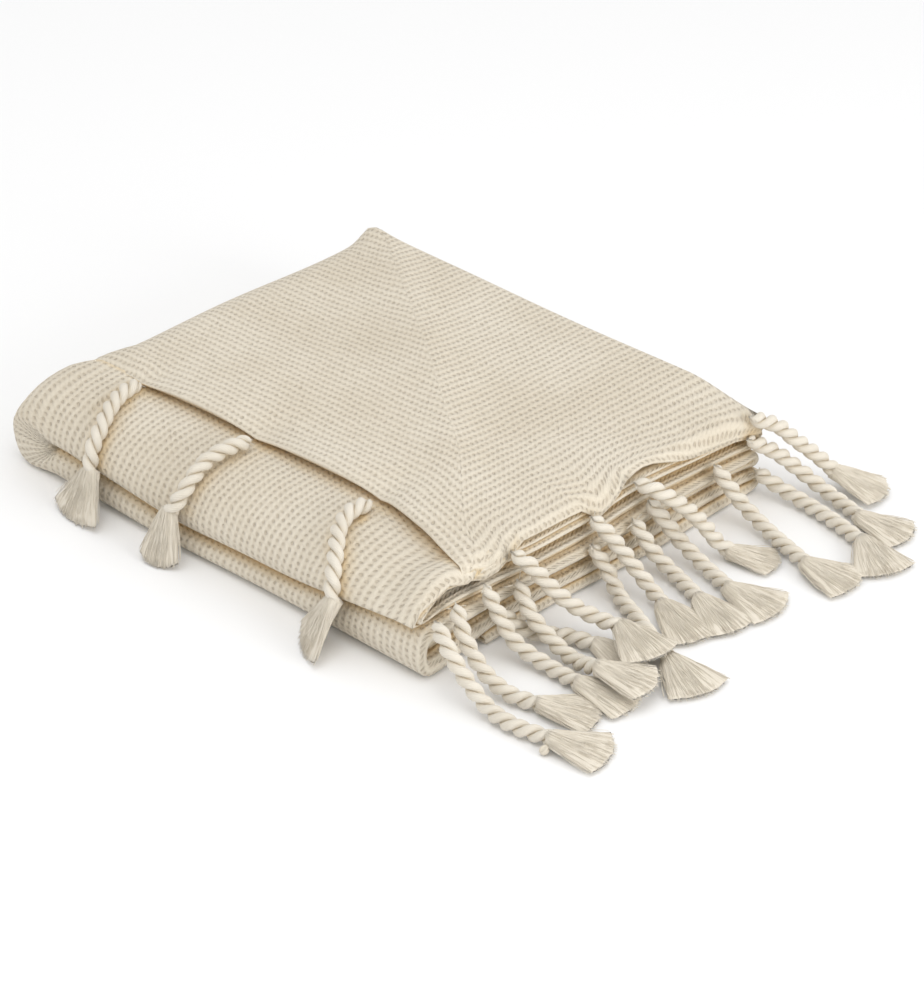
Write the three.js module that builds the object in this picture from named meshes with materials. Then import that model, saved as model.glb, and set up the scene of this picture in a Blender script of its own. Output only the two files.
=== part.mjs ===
// A folded knitted cotton throw with a twisted rope fringe.
// Millimetres, +Z up. The origin is on the table, under the middle of the folded pile.
// +X points to the ply ends that carry the fringe, -Y to the side with the two rolled folds.
import * as THREE from "three";

// Driving dimensions of the pile.
const PILE_LENGTH = 380;
const PILE_WIDTH = 328;
const PLY = 4.2;
const PLIES = 16;
const FLAP_PLIES = 2;
const FLAP_SETBACK = 60;
const CREASE_PLIES = 5;
const CREASE_DEPTH = 10;
const END_ROLL = 34;

// Driving dimensions of one fringe cord.
const ROPE_DIAMETER = 11;
const HITCH_DIAMETER = 10;
const TASSEL_NECK = 9.4;
const TASSEL_WIDTH = 18;
const TASSEL_THICKNESS = 7.6;
const KNOT_DIAMETER = 6.8;
const GAP = 0.3;

const END_FACE = PILE_LENGTH / 2;
const SIDE = PILE_WIDTH / 2;
const HEIGHT = PLY * PLIES;
const FLAP_FOOT = HEIGHT - PLY * FLAP_PLIES;
const FLAP_EDGE = -SIDE + FLAP_SETBACK;
const CREASE = PLY * CREASE_PLIES;
const UPPER_ROLL = FLAP_FOOT - CREASE;
const HITCH_REACH = GAP + HITCH_DIAMETER / 2;
const LYING = ROPE_DIAMETER / 2 + 0.7;

const cotton = () => new THREE.MeshStandardMaterial({ color: 0xe2d9c6, roughness: 0.95, metalness: 0 });
const yarn = () => new THREE.MeshStandardMaterial({ color: 0xe9e2d2, roughness: 0.9, metalness: 0 });

function named(name, geometry, material) {
  const mesh = new THREE.Mesh(geometry, material);
  mesh.name = name;
  return mesh;
}

// The pile's outline seen from its fringed end, counter-clockwise, as [y, z].
function pileOutline() {
  return [
    [-SIDE + 14, 0],
    [SIDE - 12, 0],
    [SIDE - 3, 0.1 * HEIGHT],
    [SIDE, 0.22 * HEIGHT],
    [SIDE - 1, 0.5 * HEIGHT],
    [SIDE - 4, 0.8 * HEIGHT],
    [SIDE - 8, 0.93 * HEIGHT],
    [SIDE - 16, HEIGHT],
    [FLAP_EDGE, HEIGHT],
    [FLAP_EDGE, FLAP_FOOT],
    [-SIDE + 40, FLAP_FOOT - 0.03 * UPPER_ROLL],
    [-SIDE + 24, FLAP_FOOT - 0.14 * UPPER_ROLL],
    [-SIDE + 12, FLAP_FOOT - 0.28 * UPPER_ROLL],
    [-SIDE + 4, FLAP_FOOT - 0.46 * UPPER_ROLL],
    [-SIDE, FLAP_FOOT - 0.68 * UPPER_ROLL],
    [-SIDE + 2, FLAP_FOOT - 0.87 * UPPER_ROLL],
    [-SIDE + CREASE_DEPTH, CREASE],
    [-SIDE + 2.5, 0.72 * CREASE],
    [-SIDE, 0.4 * CREASE],
    [-SIDE + 3, 0.14 * CREASE],
  ];
}

// The panel: the outline drawn out along X, with the last fold closing round at the -X end.
function knittedPanel() {
  const outline = new THREE.Shape(pileOutline().map(([y, z]) => new THREE.Vector2(y, z)));
  const roll = [0.97, 0.91, 0.78, 0.58, 0.3, 0];
  const stations = roll.map((share) => -END_FACE + END_ROLL * (1 - share));
  stations[0] = -END_FACE;
  stations.push(0, END_FACE);
  const steps = stations.length - 1;
  const geometry = new THREE.ExtrudeGeometry(outline, { depth: steps, steps, bevelEnabled: false });
  const place = geometry.attributes.position;
  const middle = HEIGHT / 2;
  for (let i = 0; i < place.count; i += 1) {
    const station = Math.round(place.getZ(i));
    const share = station < roll.length ? roll[station] : 0;
    const squeeze = Math.sqrt(1 - share * share);
    const y = place.getX(i);
    const z = middle + (place.getY(i) - middle) * squeeze;
    place.setXYZ(i, stations[station], y, z);
  }
  return named("knitted_panel", geometry, cotton());
}

// Three cords hang from the top flap's edge over the upper roll. A cord starts at its x, its
// route lists [x, distance beyond the -Y side, share of the roll's height that it has come down],
// and its tassel's tip lies on the table at [x, distance beyond the -Y side].
const SIDE_CORDS = [
  {
    start: -127,
    route: [[-124, -38, 0.02], [-119, -23, 0.12], [-113, -9, 0.31], [-109, 2, 0.57], [-106, 7.2, 0.94]],
    tip: [-108, 24],
  },
  {
    start: -19,
    route: [[-21, -38, 0.02], [-24, -24, 0.11], [-23, -10, 0.29], [-23, 2, 0.57], [-29, 7.2, 0.89]],
    tip: [-25, 23],
  },
  {
    start: 92,
    route: [[92, -38, 0.02], [97, -24, 0.11], [108, -10, 0.29], [117, 1.5, 0.55], [122, 7.2, 0.89]],
    tip: [111, 23],
  },
];

// Fifteen cords come out between the ply ends. Heights count plies above a cord that lies on the
// table: a cord starts at [y, height], its route lists [distance from the end face, y, height],
// and the last place is its tassel's tip.
const END_CORDS = [
  {
    start: [-154, 8.3],
    route: [[24, -161, 6.1], [40, -161, 2.6], [56, -161, 0.3], [76, -162, 0], [104, -156, 0]],
    tip: [136, -140, 0],
  },
  {
    start: [-137, 9.5],
    route: [[14, -141, 6.9], [23, -142, 4.2], [38, -142, 1.4], [56, -140, 0.1], [75, -134, 0]],
    tip: [104, -115, 0],
  },
  {
    start: [-111, 9.8],
    route: [[14, -109, 6.1], [26, -106, 2.1], [48, -102, 0.2], [77, -102, 0]],
    tip: [112, -91, 0],
  },
  {
    start: [-96, 4],
    route: [[14, -89, 1.4], [23, -77, 0.1], [36, -68, 0], [57, -63, 0]],
    tip: [88, -60, 0],
  },
  {
    start: [-82, 7.5],
    route: [[19, -87, 4.7], [34, -86, 1.9], [57, -87, 0.4], [83, -91, 2.2]],
    tip: [116, -79, 2.3],
  },
  {
    start: [-86, 13],
    route: [[14, -79, 10.9], [22, -72, 7.8], [32, -64, 5], [46, -54, 2.8], [64, -50, 2.5]],
    tip: [98, -58, 2.8],
  },
  {
    start: [-14, 11.5],
    route: [[13, -8, 9], [21, -2, 5.9], [30, 2, 3], [41, 3, 0.8], [56, -2, 0]],
    tip: [94, -9, 0],
  },
  {
    start: [-14, 6.5],
    route: [[12, -9, 3.3], [21, -10, 0.7], [34, -16, 0], [51, -23, 0], [76, -35, 0], [99, -45, 0]],
    tip: [134, -54, 0],
  },
  {
    start: [25, 7],
    route: [[13, 27, 4.5], [20, 30, 2.1], [32, 31, 0.4], [50, 26, 0], [68, 19, 0]],
    tip: [103, 12, 0],
  },
  {
    start: [40, 8.8],
    route: [[13, 47, 5.4], [22, 52, 2.3], [46, 50, 0.2], [73, 42, 0]],
    tip: [108, 49, 0],
  },
  {
    start: [27, 13.5],
    route: [[15, 34, 12.6], [21, 43, 10.7], [26, 53, 8.3], [31, 63, 5.2], [36, 71, 1.9], [44, 77, 0]],
    tip: [70, 93, 0],
  },
  {
    start: [105, 8.3],
    route: [[13, 110, 5.2], [22, 115, 2.1], [46, 112, 0.2], [73, 104, 0], [89, 99, 0]],
    tip: [123, 106, 0],
  },
  {
    start: [138, 10],
    route: [[13, 156, 6.9], [25, 169, 3.3], [39, 175, 0.9], [58, 174, 0], [78, 168, 0]],
    tip: [112, 176, 0],
  },
  {
    start: [148, 3.3],
    route: [[20, 155, 1.1], [40, 157, 0.1], [66, 153, 0], [98, 145, 0]],
    tip: [130, 130, 0],
  },
  {
    start: [140, 13.8],
    route: [[12, 158, 11.4], [18, 169, 8.5], [26, 182, 5.2], [35, 194, 1.6]],
    tip: [68, 207, 0.1],
  },
];

const onSide = (x, out, z) => new THREE.Vector3(x, -SIDE - out, z);
const downRoll = ([x, out, share]) => onSide(x, out, FLAP_FOOT + LYING + 0.5 - share * UPPER_ROLL);
const fromEnd = ([out, y, plies]) => new THREE.Vector3(END_FACE + out, y, LYING + plies * PLY);

// Turns a shape's +Y to a direction, and keeps its thin way, Z, as upright as that allows.
function lyingAlong(along) {
  const across = new THREE.Vector3(0, 0, 1).cross(along).normalize().negate();
  const upward = across.clone().cross(along);
  return new THREE.Matrix4().makeBasis(across, along, upward);
}

// The hitch is the lump of fringe yarn looped through the edge, where a rope begins.
function hitch(name, centre) {
  const geometry = new THREE.SphereGeometry(HITCH_DIAMETER / 2, 10, 6);
  geometry.translate(centre.x, centre.y, centre.z);
  return named(name, geometry, yarn());
}

// A rope starts at its hitch, on the line to its first place.
function ropePoints(hitchCentre, places) {
  const firstWay = places[0].clone().sub(hitchCentre).normalize();
  const start = hitchCentre.clone().addScaledVector(firstWay, HITCH_REACH);
  return [start, ...places];
}

function rope(name, points) {
  const curve = new THREE.CatmullRomCurve3(points, false, "centripetal");
  const section = new THREE.Shape();
  section.absarc(0, 0, ROPE_DIAMETER / 2, 0, 2 * Math.PI, false);
  const steps = Math.max(4, Math.round(curve.getLength() / (1.25 * ROPE_DIAMETER)));
  const settings = { steps, extrudePath: curve, curveSegments: 4, bevelEnabled: false };
  return named(name, new THREE.ExtrudeGeometry(section, settings), yarn());
}

// The tassel is a flat fan of cut yarn that opens from the rope's end to its tip.
function tassel(name, points, tip) {
  const neck = points.at(-1);
  const ropeWay = neck.clone().sub(points.at(-2)).normalize();
  const along = tip.clone().sub(neck).normalize();
  const turn = ropeWay.angleTo(along);
  const start = neck.clone().addScaledVector(along, GAP + (ROPE_DIAMETER / 2) * Math.sin(turn));
  const length = tip.distanceTo(start);
  const geometry = new THREE.CylinderGeometry(TASSEL_WIDTH / 2, TASSEL_NECK / 2, length, 10, 2);
  geometry.scale(1, 1, TASSEL_THICKNESS / TASSEL_WIDTH);
  geometry.applyMatrix4(lyingAlong(along));
  const centre = start.clone().addScaledVector(along, length / 2);
  geometry.translate(centre.x, centre.y, centre.z);
  return named(name, geometry, yarn());
}

function tieKnot(ropeEnd) {
  const geometry = new THREE.SphereGeometry(KNOT_DIAMETER / 2, 10, 6);
  const aside = (ROPE_DIAMETER + KNOT_DIAMETER) / 2 + GAP;
  geometry.translate(ropeEnd.x + 1, ropeEnd.y - aside, KNOT_DIAMETER / 2 + GAP);
  return named("tie_knot", geometry, yarn());
}

const throwBlanket = new THREE.Group();
throwBlanket.add(knittedPanel());

function addCord(index, hitchCentre, places, tip) {
  const label = String(index).padStart(2, "0");
  const points = ropePoints(hitchCentre, places);
  throwBlanket.add(hitch(`edge_hitch_${label}`, hitchCentre));
  throwBlanket.add(rope(`fringe_rope_${label}`, points));
  throwBlanket.add(tassel(`fringe_tassel_${label}`, points, tip));
}

SIDE_CORDS.forEach((cord, i) => {
  const hitchCentre = new THREE.Vector3(cord.start, FLAP_EDGE - HITCH_REACH, FLAP_FOOT + HITCH_REACH);
  addCord(i + 1, hitchCentre, cord.route.map(downRoll), onSide(...cord.tip, LYING));
});
END_CORDS.forEach((cord, i) => {
  const [y, plies] = cord.start;
  const hitchCentre = fromEnd([HITCH_REACH, y, plies]);
  addCord(SIDE_CORDS.length + i + 1, hitchCentre, cord.route.map(fromEnd), fromEnd(cord.tip));
});
throwBlanket.add(tieKnot(fromEnd(END_CORDS[0].route.at(-1))));

export default throwBlanket;
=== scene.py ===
# %% [markdown]
# # A folded knitted throw with a rope fringe
# The object is a cotton throw, knitted in a coarse purl stitch, folded into a neat pile and laid
# on a table. Its two fringed edges carry thick twisted cords, and every cord is combed out into a
# tassel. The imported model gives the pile's box and the cords' solids. Everything that shows is
# made here around that frame: first the camera, then the cords, then the cloth.

# %% Load the frame
import math

import bmesh
import bpy
import numpy as np
from mathutils import Matrix, Vector
from mathutils.bvhtree import BVHTree


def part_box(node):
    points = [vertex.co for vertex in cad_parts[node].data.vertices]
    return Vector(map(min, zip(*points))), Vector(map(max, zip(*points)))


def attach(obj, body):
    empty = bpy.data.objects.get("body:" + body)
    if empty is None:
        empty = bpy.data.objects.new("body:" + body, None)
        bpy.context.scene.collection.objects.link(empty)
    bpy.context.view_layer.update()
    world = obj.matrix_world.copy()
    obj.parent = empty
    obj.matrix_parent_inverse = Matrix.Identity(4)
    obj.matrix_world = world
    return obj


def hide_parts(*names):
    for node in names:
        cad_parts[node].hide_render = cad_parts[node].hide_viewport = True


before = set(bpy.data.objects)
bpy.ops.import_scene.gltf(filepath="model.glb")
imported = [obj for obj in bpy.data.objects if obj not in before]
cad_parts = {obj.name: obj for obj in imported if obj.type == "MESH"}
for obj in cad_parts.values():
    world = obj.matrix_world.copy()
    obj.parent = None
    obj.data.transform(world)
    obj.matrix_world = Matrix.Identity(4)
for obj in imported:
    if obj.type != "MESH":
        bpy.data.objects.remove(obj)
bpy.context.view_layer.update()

PILE_LOW, PILE_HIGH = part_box("knitted_panel")
END_FACE = PILE_HIGH.x
SIDE = PILE_HIGH.y
HEIGHT = PILE_HIGH.z
PLIES = 16
PLY = HEIGHT / PLIES
print(f"pile {2 * END_FACE:.3f} x {2 * SIDE:.3f} x {HEIGHT:.4f} m, one ply {1000 * PLY:.1f} mm")

# %% [markdown]
# ## The camera
# A catalogue picture of a folded throw is taken from well back with a long lens, so that the
# pile's edges stay nearly parallel. The camera stands off one corner and looks down at about
# thirty degrees: the long side with the rolled folds is on the left and the fringe on the right.

# %% Camera
CAMERA_AZIMUTH = math.radians(44.19)
CAMERA_ELEVATION = math.radians(31.06)
CAMERA_DISTANCE = 2.2045
CAMERA_AIM = Vector((0.0916, -0.0255, 0.0300))

towards_camera = Vector((
    math.sin(CAMERA_AZIMUTH) * math.cos(CAMERA_ELEVATION),
    -math.cos(CAMERA_AZIMUTH) * math.cos(CAMERA_ELEVATION),
    math.sin(CAMERA_ELEVATION),
))
camera = bpy.data.objects.new("camera", bpy.data.cameras.new("camera"))
camera.data.lens = 122.9
camera.data.sensor_width = 36
camera.data.clip_start = 0.1
camera.location = CAMERA_AIM + towards_camera * CAMERA_DISTANCE
camera.rotation_euler = (-towards_camera).to_track_quat("-Z", "Y").to_euler()
bpy.context.scene.collection.objects.link(camera)
bpy.context.scene.camera = camera
print("camera at", [round(c, 3) for c in camera.location])

# %% [markdown]
# ## Where the cords run
# Each fringe cord leaves the edge of the cloth, bends over what is below it and lies down on the
# table. Its places are listed one by one, and they are the same ones as in the imported model,
# because the cords' solids lie there too. Heights at the fringed end are counted in plies above a
# cord that lies on the table, which keeps a cord beside the ply that it comes from.

# %% The cords' places
ROPE_DIAMETER = 0.011
HITCH_REACH = 0.0053
LYING = ROPE_DIAMETER / 2 + 0.0007
FLAP_SETBACK = 0.060
FLAP_EDGE = -SIDE + FLAP_SETBACK
FLAP_FOOT = HEIGHT - 2 * PLY
CREASE = 5 * PLY
UPPER_ROLL = FLAP_FOOT - CREASE

# A side cord: its start's x, its places as (x, distance beyond the -Y side, share of the upper
# roll's height that it has come down), and its tassel's tip as (x, distance beyond the side).
SIDE_CORDS = [
    (-0.127, [(-0.124, -0.038, 0.02), (-0.119, -0.023, 0.12), (-0.113, -0.009, 0.31),
              (-0.109, 0.002, 0.57), (-0.106, 0.0072, 0.94)], (-0.108, 0.024)),
    (-0.019, [(-0.021, -0.038, 0.02), (-0.024, -0.024, 0.11), (-0.023, -0.010, 0.29),
              (-0.023, 0.002, 0.57), (-0.029, 0.0072, 0.89)], (-0.025, 0.023)),
    (0.092, [(0.092, -0.038, 0.02), (0.097, -0.024, 0.11), (0.108, -0.010, 0.29),
             (0.117, 0.0015, 0.55), (0.122, 0.0072, 0.89)], (0.111, 0.023)),
]

# An end cord: its start as (y, plies), its places as (distance beyond the end face, y, plies),
# and its tassel's tip in the same way.
END_CORDS = [
    ((-0.154, 8.3), [(0.024, -0.161, 6.1), (0.040, -0.161, 2.6), (0.056, -0.161, 0.3),
                     (0.076, -0.162, 0), (0.104, -0.156, 0)], (0.136, -0.140, 0)),
    ((-0.137, 9.5), [(0.014, -0.141, 6.9), (0.023, -0.142, 4.2), (0.038, -0.142, 1.4),
                     (0.056, -0.140, 0.1), (0.075, -0.134, 0)], (0.104, -0.115, 0)),
    ((-0.111, 9.8), [(0.014, -0.109, 6.1), (0.026, -0.106, 2.1), (0.048, -0.102, 0.2),
                     (0.077, -0.102, 0)], (0.112, -0.091, 0)),
    ((-0.096, 4), [(0.014, -0.089, 1.4), (0.023, -0.077, 0.1), (0.036, -0.068, 0),
                   (0.057, -0.063, 0)], (0.088, -0.060, 0)),
    ((-0.082, 7.5), [(0.019, -0.087, 4.7), (0.034, -0.086, 1.9), (0.057, -0.087, 0.4),
                     (0.083, -0.091, 2.2)], (0.116, -0.079, 2.3)),
    ((-0.086, 13), [(0.014, -0.079, 10.9), (0.022, -0.072, 7.8), (0.032, -0.064, 5),
                    (0.046, -0.054, 2.8), (0.064, -0.050, 2.5)], (0.098, -0.058, 2.8)),
    ((-0.014, 11.5), [(0.013, -0.008, 9), (0.021, -0.002, 5.9), (0.030, 0.002, 3),
                      (0.041, 0.003, 0.8), (0.056, -0.002, 0)], (0.094, -0.009, 0)),
    ((-0.014, 6.5), [(0.012, -0.009, 3.3), (0.021, -0.010, 0.7), (0.034, -0.016, 0),
                     (0.051, -0.023, 0), (0.076, -0.035, 0), (0.099, -0.045, 0)],
     (0.134, -0.054, 0)),
    ((0.025, 7), [(0.013, 0.027, 4.5), (0.020, 0.030, 2.1), (0.032, 0.031, 0.4),
                  (0.050, 0.026, 0), (0.068, 0.019, 0)], (0.103, 0.012, 0)),
    ((0.040, 8.8), [(0.013, 0.047, 5.4), (0.022, 0.052, 2.3), (0.046, 0.050, 0.2),
                    (0.073, 0.042, 0)], (0.108, 0.049, 0)),
    ((0.027, 13.5), [(0.015, 0.034, 12.6), (0.021, 0.043, 10.7), (0.026, 0.053, 8.3),
                     (0.031, 0.063, 5.2), (0.036, 0.071, 1.9), (0.044, 0.077, 0)],
     (0.070, 0.093, 0)),
    ((0.105, 8.3), [(0.013, 0.110, 5.2), (0.022, 0.115, 2.1), (0.046, 0.112, 0.2),
                    (0.073, 0.104, 0), (0.089, 0.099, 0)], (0.123, 0.106, 0)),
    ((0.138, 10), [(0.013, 0.156, 6.9), (0.025, 0.169, 3.3), (0.039, 0.175, 0.9),
                   (0.058, 0.174, 0), (0.078, 0.168, 0)], (0.112, 0.176, 0)),
    ((0.148, 3.3), [(0.020, 0.155, 1.1), (0.040, 0.157, 0.1), (0.066, 0.153, 0),
                    (0.098, 0.145, 0)], (0.130, 0.130, 0)),
    ((0.140, 13.8), [(0.012, 0.158, 11.4), (0.018, 0.169, 8.5), (0.026, 0.182, 5.2),
                     (0.035, 0.194, 1.6)], (0.068, 0.207, 0.1)),
]


def on_side(x, out, z):
    return Vector((x, -SIDE - out, z))


def down_roll(place):
    x, out, share = place
    return on_side(x, out, FLAP_FOOT + LYING + 0.0005 - share * UPPER_ROLL)


def from_end(place):
    out, y, plies = place
    return Vector((END_FACE + out, y, LYING + plies * PLY))


def cord_places():
    """Every cord as (hitch centre, rope places, tassel tip), with the rope starting at its hitch."""
    cords = []
    for start, route, tip in SIDE_CORDS:
        centre = Vector((start, FLAP_EDGE - HITCH_REACH, FLAP_FOOT + HITCH_REACH))
        cords.append((centre, [down_roll(p) for p in route], on_side(*tip, LYING)))
    for (y, plies), route, tip in END_CORDS:
        cords.append((from_end((HITCH_REACH, y, plies)), [from_end(p) for p in route], from_end(tip)))
    for centre, places, tip in cords:
        places.insert(0, centre + (places[0] - centre).normalized() * HITCH_REACH)
    return cords


CORDS = cord_places()
print(len(CORDS), "cords")

# %% [markdown]
# ## A smooth line through listed places
# A cord is one smooth curve. The centripetal Catmull-Rom curve passes through every chosen place
# without loops or overshoot, and it is the same curve that the imported solids follow. It is then
# walked at even steps, and each step carries a pair of directions that never twist about the
# cord, so that only the rope's own twist shows.


# %% Smooth line and its directions
def catmull_rom(places, per_span=24):
    line = []
    before = [places[0] * 2 - places[1], *places, places[-1] * 2 - places[-2]]
    for i in range(len(places) - 1):
        p0, p1, p2, p3 = before[i:i + 4]
        t0, t1, t2 = ((b - a).length ** 0.5 for a, b in ((p0, p1), (p1, p2), (p2, p3)))
        out = ((p1 - p0) / t0 - (p2 - p0) / (t0 + t1) + (p2 - p1) / t1) * t1
        into = ((p2 - p1) / t1 - (p3 - p1) / (t1 + t2) + (p3 - p2) / t2) * t1
        for k in range(per_span):
            t = k / per_span
            line.append(p1 + out * t + (3 * (p2 - p1) - 2 * out - into) * t * t
                        + (2 * (p1 - p2) + out + into) * t ** 3)
    return np.array([*line, places[-1]])


def even_steps(line, step):
    along = np.concatenate([[0], np.cumsum(np.linalg.norm(np.diff(line, axis=0), axis=1))])
    at = np.linspace(0, along[-1], max(2, round(along[-1] / step) + 1))
    return np.stack([np.interp(at, along, line[:, k]) for k in range(3)], axis=1), along[-1]


def carried_directions(line):
    """The way ahead at each point, and two ways across that turn as little as they can."""
    ahead = np.gradient(line, axis=0)
    ahead /= np.linalg.norm(ahead, axis=1)[:, None]
    across = np.zeros_like(line)
    side = np.cross(ahead[0], (0, 0, 1))
    across[0] = side / np.linalg.norm(side)
    for i in range(1, len(line)):
        side = across[i - 1] - ahead[i] * (across[i - 1] @ ahead[i])
        across[i] = side / np.linalg.norm(side)
    return ahead, across, np.cross(ahead, across)


def bend_along(points, line, length):
    """Takes points round the Z axis and lays them round a line, with Z as the distance along it."""
    ahead, across, upward = carried_directions(line)
    at = np.linspace(0, length, len(line))

    def pick(values):
        return np.stack([np.interp(points[:, 2], at, values[:, k]) for k in range(3)], axis=1)

    over = (points[:, 2] - np.clip(points[:, 2], 0, length))[:, None]
    return (pick(line) + pick(ahead) * over
            + pick(across) * points[:, :1] + pick(upward) * points[:, 1:2])


# %% [markdown]
# ## Meshes from operators
# The next helpers take care of chores: a smooth step from 0 to 1, reading and writing a mesh's
# points as one array, turning a bmesh into an object, and writing a tube's UV map.


# %% Helpers for meshes
def ease(t):
    t = np.clip(t, 0, 1)
    return t * t * (3 - 2 * t)


def points_of(bm):
    return np.array([v.co for v in bm.verts])


def move_points(bm, points):
    for v, p in zip(bm.verts, points):
        v.co = p


def finish_piece(name, bm, material, smooth=True):
    mesh = bpy.data.meshes.new(name)
    for face in bm.faces:
        face.smooth = smooth
    bm.to_mesh(mesh)
    bm.free()
    piece = bpy.data.objects.new(name, mesh)
    bpy.context.scene.collection.objects.link(piece)
    mesh.materials.append(material)
    return piece


def unwrapped(values):
    """Numbers that count once round a tube, made to rise across the seam."""
    return [v + 1 if v < 0.5 and max(values) - min(values) > 0.5 else v for v in values]


def tube_uv(bm, around, along):
    """Writes a UV map from two point layers: how far round, and how far along in metres."""
    uv = bm.loops.layers.uv.new("cord")
    for face in bm.faces:
        turns = unwrapped([loop.vert[around] for loop in face.loops])
        for loop, turn in zip(face.loops, turns):
            loop[uv].uv = (turn, loop.vert[along])


# %% [markdown]
# ## Node helpers
# All finishes are procedural. A node tree is easier to read as sums, so the helper below adds a
# maths node and joins it to whatever it is given, a number or another node's output.


# %% Node helpers
class Nodes:
    """A material's node tree with short calls for the nodes that the finishes need."""

    def __init__(self, name, roughness, sheen):
        self.material = bpy.data.materials.new(name)
        self.material.use_nodes = True
        self.tree = self.material.node_tree
        self.shader = self.tree.nodes["Principled BSDF"]
        self.shader.inputs["Roughness"].default_value = roughness
        self.shader.inputs["Sheen Weight"].default_value = sheen
        self.shader.inputs["Sheen Roughness"].default_value = 0.45
        self.shader.inputs["Specular IOR Level"].default_value = 0.2

    def add(self, kind, **settings):
        node = self.tree.nodes.new(kind)
        for key, value in settings.items():
            setattr(node, key, value)
        return node

    def join(self, value, socket):
        if isinstance(value, bpy.types.NodeSocket):
            self.tree.links.new(value, socket)
        else:
            socket.default_value = value

    def maths(self, operation, *values):
        node = self.add("ShaderNodeMath", operation=operation)
        for value, socket in zip(values, node.inputs):
            self.join(value, socket)
        return node.outputs[0]

    def ease(self, value, low, high, at_low=0.0, at_high=1.0):
        node = self.add("ShaderNodeMapRange", interpolation_type="SMOOTHSTEP")
        for key, given in (("Value", value), ("From Min", low), ("From Max", high),
                           ("To Min", at_low), ("To Max", at_high)):
            self.join(given, node.inputs[key])
        return node.outputs["Result"]

    def noise(self, coordinates, scale, detail=2.0):
        node = self.add("ShaderNodeTexNoise")
        self.join(coordinates, node.inputs["Vector"])
        node.inputs["Scale"].default_value = scale
        node.inputs["Detail"].default_value = detail
        return node.outputs["Fac"]

    def uneven(self, value, slow, quick):
        """Adds a slow and a quick wander to a length, so that stitches differ."""
        for scale, size in ((42, slow), (260, quick)):
            wander = self.maths("SUBTRACT", self.noise(self.place(), scale, 1), 0.5)
            value = self.maths("ADD", value, self.maths("MULTIPLY", wander, 2 * size))
        return value

    def dash(self, row, stitch, shift):
        """1 inside a leaning dash in the middle of each cell, and 0 away from it."""
        tall = self.maths("SUBTRACT", self.maths("FRACT", self.maths("ADD", row, shift)), 0.5)
        wide = self.maths("SUBTRACT", self.maths("FRACT", self.maths("ADD", stitch, shift)), 0.5)
        thin = self.maths("DIVIDE", self.maths("SUBTRACT", wide, tall), 0.30)
        long = self.maths("DIVIDE", self.maths("ADD", wide, tall), 0.36)
        far = self.maths("ADD", self.maths("POWER", thin, 2.0), self.maths("POWER", long, 2.0))
        return self.ease(far, 0.10, 1.5, 1.0, 0.0)

    def blend(self, share, first, second):
        node = self.add("ShaderNodeMix", data_type="RGBA")
        self.join(share, node.inputs[0])
        self.join(first, node.inputs[6])
        self.join(second, node.inputs[7])
        return node.outputs[2]

    def split(self, vector):
        node = self.add("ShaderNodeSeparateXYZ")
        self.join(vector, node.inputs[0])
        return node.outputs[0], node.outputs[1], node.outputs[2]

    def uv(self, name):
        return self.add("ShaderNodeUVMap", uv_map=name).outputs[0]

    def place(self):
        return self.add("ShaderNodeTexCoord").outputs["Object"]

    def attribute(self, name):
        return self.add("ShaderNodeAttribute", attribute_name=name).outputs["Fac"]

    def bump(self, height, distance, strength=1.0, under=None):
        node = self.add("ShaderNodeBump")
        node.inputs["Strength"].default_value = strength
        node.inputs["Distance"].default_value = distance
        self.join(height, node.inputs["Height"])
        if under is not None:
            self.join(under, node.inputs["Normal"])
        return node.outputs[0]

    def finish(self, colour, normal):
        self.join(colour, self.shader.inputs["Base Color"])
        self.join(normal, self.shader.inputs["Normal"])
        return self.material


# %% [markdown]
# ## The yarn of the cords
# The fringe is the same undyed cotton as the cloth, but it lies in smooth parallel yarns, so it
# looks a little lighter. Fine lines run along each strand, and they follow the strand because the
# pattern reads the strand's own UV map. A faint warm and cool drift keeps it from looking painted.

# %% Yarn finishes
COTTON = (0.735, 0.675, 0.572, 1)
COTTON_LIGHT = (0.775, 0.722, 0.625, 1)
COMBED = (0.660, 0.600, 0.495, 1)
COTTON_SHADE = (0.680, 0.580, 0.420, 1)
YARNS_IN_STRAND = 13


def rope_finish():
    n = Nodes("twisted_cotton", roughness=0.88, sheen=0.25)
    around, along, _ = n.split(n.uv("cord"))
    slant = n.maths("ADD", n.maths("MULTIPLY", around, YARNS_IN_STRAND), n.maths("MULTIPLY", along, 120))
    line = n.maths("SINE", n.maths("MULTIPLY", slant, 2 * math.pi))
    drift = n.noise(n.place(), 60, 3)
    fuzz = n.noise(n.place(), 2600, 2)
    worn = n.ease(n.maths("ADD", drift, n.maths("MULTIPLY", line, 0.07)), 0.3, 0.7)
    colour = n.blend(worn, COTTON, COTTON_LIGHT)
    # Painted warm shade where cloth or another cord shelters the point.
    colour = n.blend(n.maths("MULTIPLY", n.attribute("sheltered"), 0.85), colour, COTTON_SHADE)
    height = n.maths("ADD", n.maths("MULTIPLY", line, 0.5), fuzz)
    return n.finish(colour, n.bump(height, 0.00022))


def tassel_finish():
    n = Nodes("combed_cotton", roughness=0.9, sheen=0.3)
    tint = n.attribute("tint")
    drift = n.noise(n.place(), 140, 3)
    colour = n.blend(n.ease(n.maths("ADD", tint, drift), 0.5, 1.5), COMBED, COTTON)
    # Painted warm shade where the piece stores a sheltered share.
    colour = n.blend(n.maths("MULTIPLY", n.attribute("sheltered"), 0.8), colour, COTTON_SHADE)
    return n.finish(colour, n.bump(n.noise(n.place(), 2200, 2), 0.0002))


ROPE_FINISH = rope_finish()
TASSEL_FINISH = tassel_finish()

# %% [markdown]
# ## Twisting a rope
# Two fat strands are laid round each other to the left; one cord at the side was laid to the
# right. A straight piece of that rope needs only one operator: a small ring, tilted to face along
# the lay, is spun about the axis while it climbs. The ring has shallow lobes, which become the
# yarns of the strand. The straight rope is then bent along the cord's line.

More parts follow.
